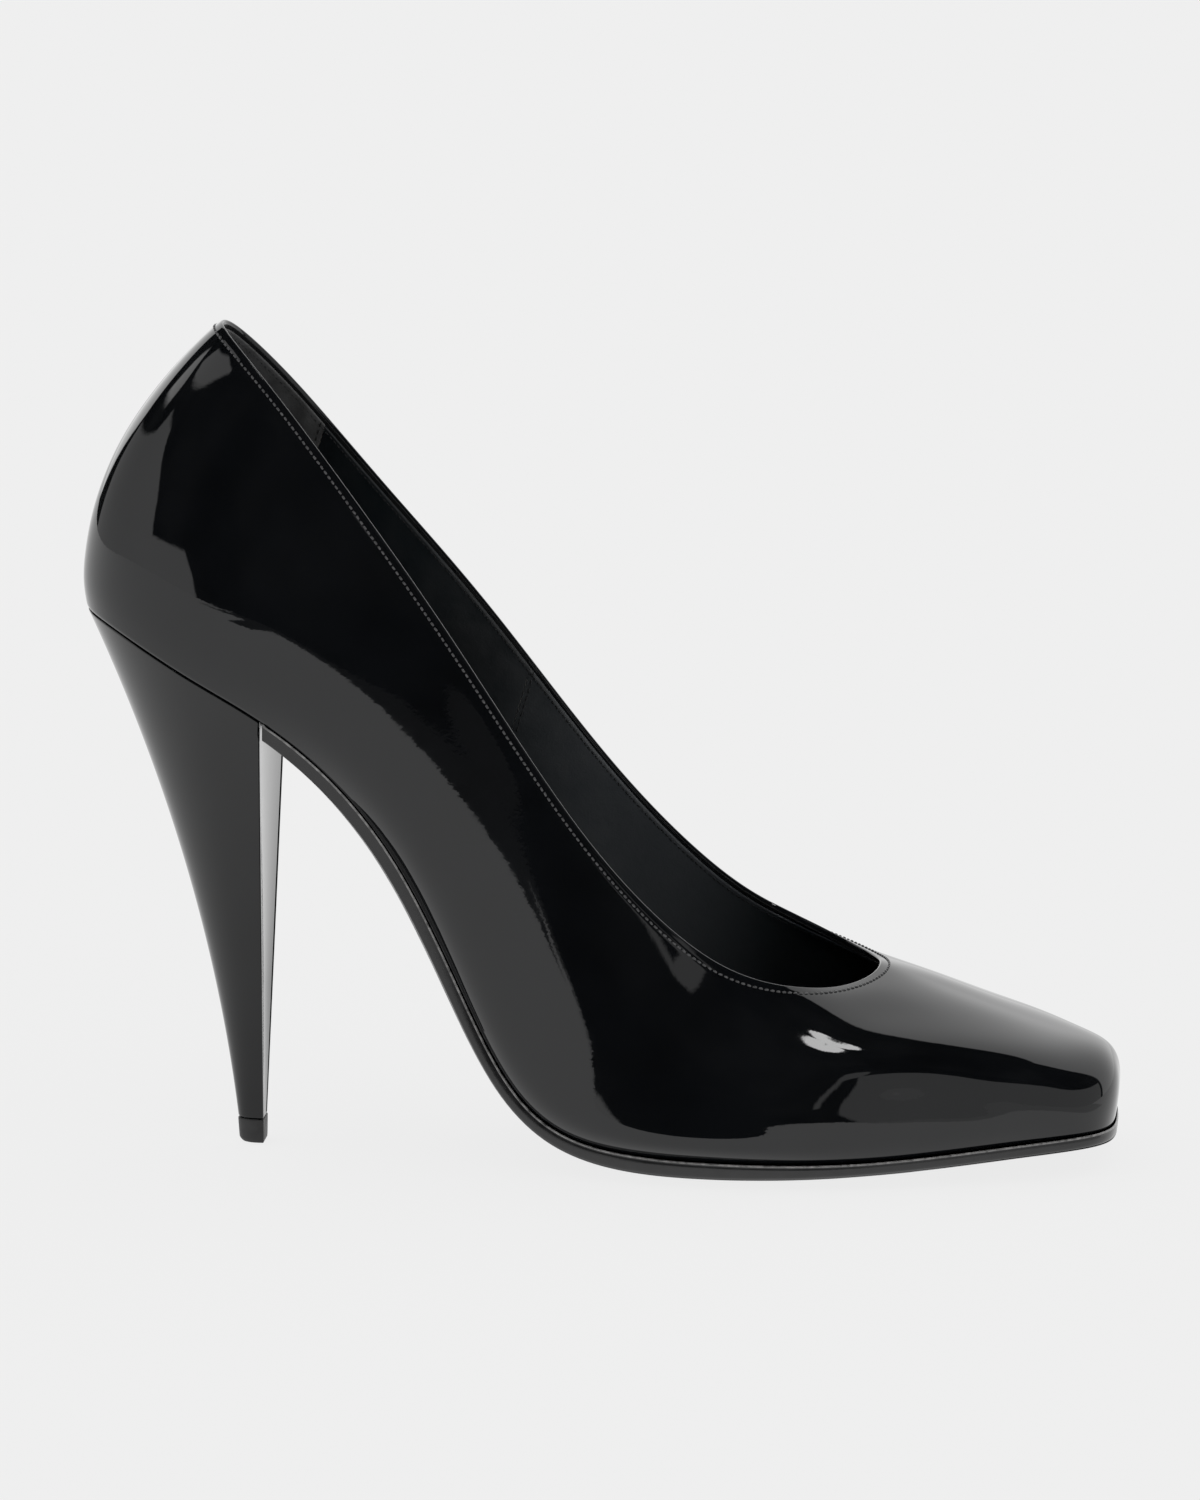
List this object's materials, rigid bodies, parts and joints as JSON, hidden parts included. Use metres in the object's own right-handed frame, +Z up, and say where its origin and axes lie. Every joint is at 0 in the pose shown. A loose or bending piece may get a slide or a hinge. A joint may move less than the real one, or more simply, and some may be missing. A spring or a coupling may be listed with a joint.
{
  "type": "high heel pump",
  "caption": "Black patent high heel pump with a square toe, low cut topline, wrapped tall cone heel and a replaceable heel tip; right foot.",
  "frame": {"origin": "centre of the bearing face of the heel tip, on the floor", "axes": "+X from the heel to the toe along the shoe, +Z up, +Y toward the inner (big toe) side of a right foot"},
  "size_m": [0.2116, 0.0803, 0.1694],
  "materials": {
    "patent_leather": "mirror gloss patent finish, black",
    "lining_leather": "smooth satin lining leather, black",
    "grip_suede": "matt brushed lining, dark grey",
    "interlining_cloth": "woven cotton interlining",
    "stiffener_board": "thermoplastic counter and puff sheet",
    "edge_tape": "thin nylon reinforcing tape",
    "stitch_thread": "black polyester thread",
    "sock_leather": "smooth black sock leather",
    "latex_foam": "thin latex foam sheet",
    "insole_fibre": "pressed cellulose board",
    "shank_fibre": "hard pressed fibre board",
    "spring_steel": "blued spring steel strip",
    "rivet_brass": "brassed tubular rivet",
    "filler_felt": "brown felt filler",
    "sole_leather": "black dressed sole leather, polished edge",
    "heel_plastic": "moulded heel block",
    "plated_steel": "zinc plated steel",
    "tip_rubber": "hard black heel tip"
  },
  "bodies": {
    "shoe": {"upper_outer": "patent_leather", "toe_puff": "stiffener_board", "side_interlining_lateral": "interlining_cloth", "side_interlining_medial": "interlining_cloth", "heel_counter": "stiffener_board", "topline_tape": "edge_tape", "topline_stitching": "stitch_thread", "vamp_lining": "lining_leather", "quarter_lining_lateral": "lining_leather", "quarter_lining_medial": "lining_leather", "heel_grip_lining": "grip_suede", "sock_lining": "sock_leather", "insock_foam": "latex_foam", "insole_board": "insole_fibre", "shank_board": "shank_fibre", "steel_shank": "spring_steel", "shank_rivets": "rivet_brass", "bottom_filler": "filler_felt", "outsole": "sole_leather", "heel_core": "heel_plastic", "heel_cover": "patent_leather", "breast_cover": "patent_leather", "heel_tube": "plated_steel", "heel_screw": "plated_steel", "heel_nails": "plated_steel"},
    "heel_tip": {"top_lift": "tip_rubber", "lift_pin": "plated_steel"}
  },
  "joints": [
    {"name": "heel_tip_pull", "type": "slide", "parent": "shoe", "child": "heel_tip", "axis": [0, 0, -1], "range_m": [0, 0.02]}
  ]
}
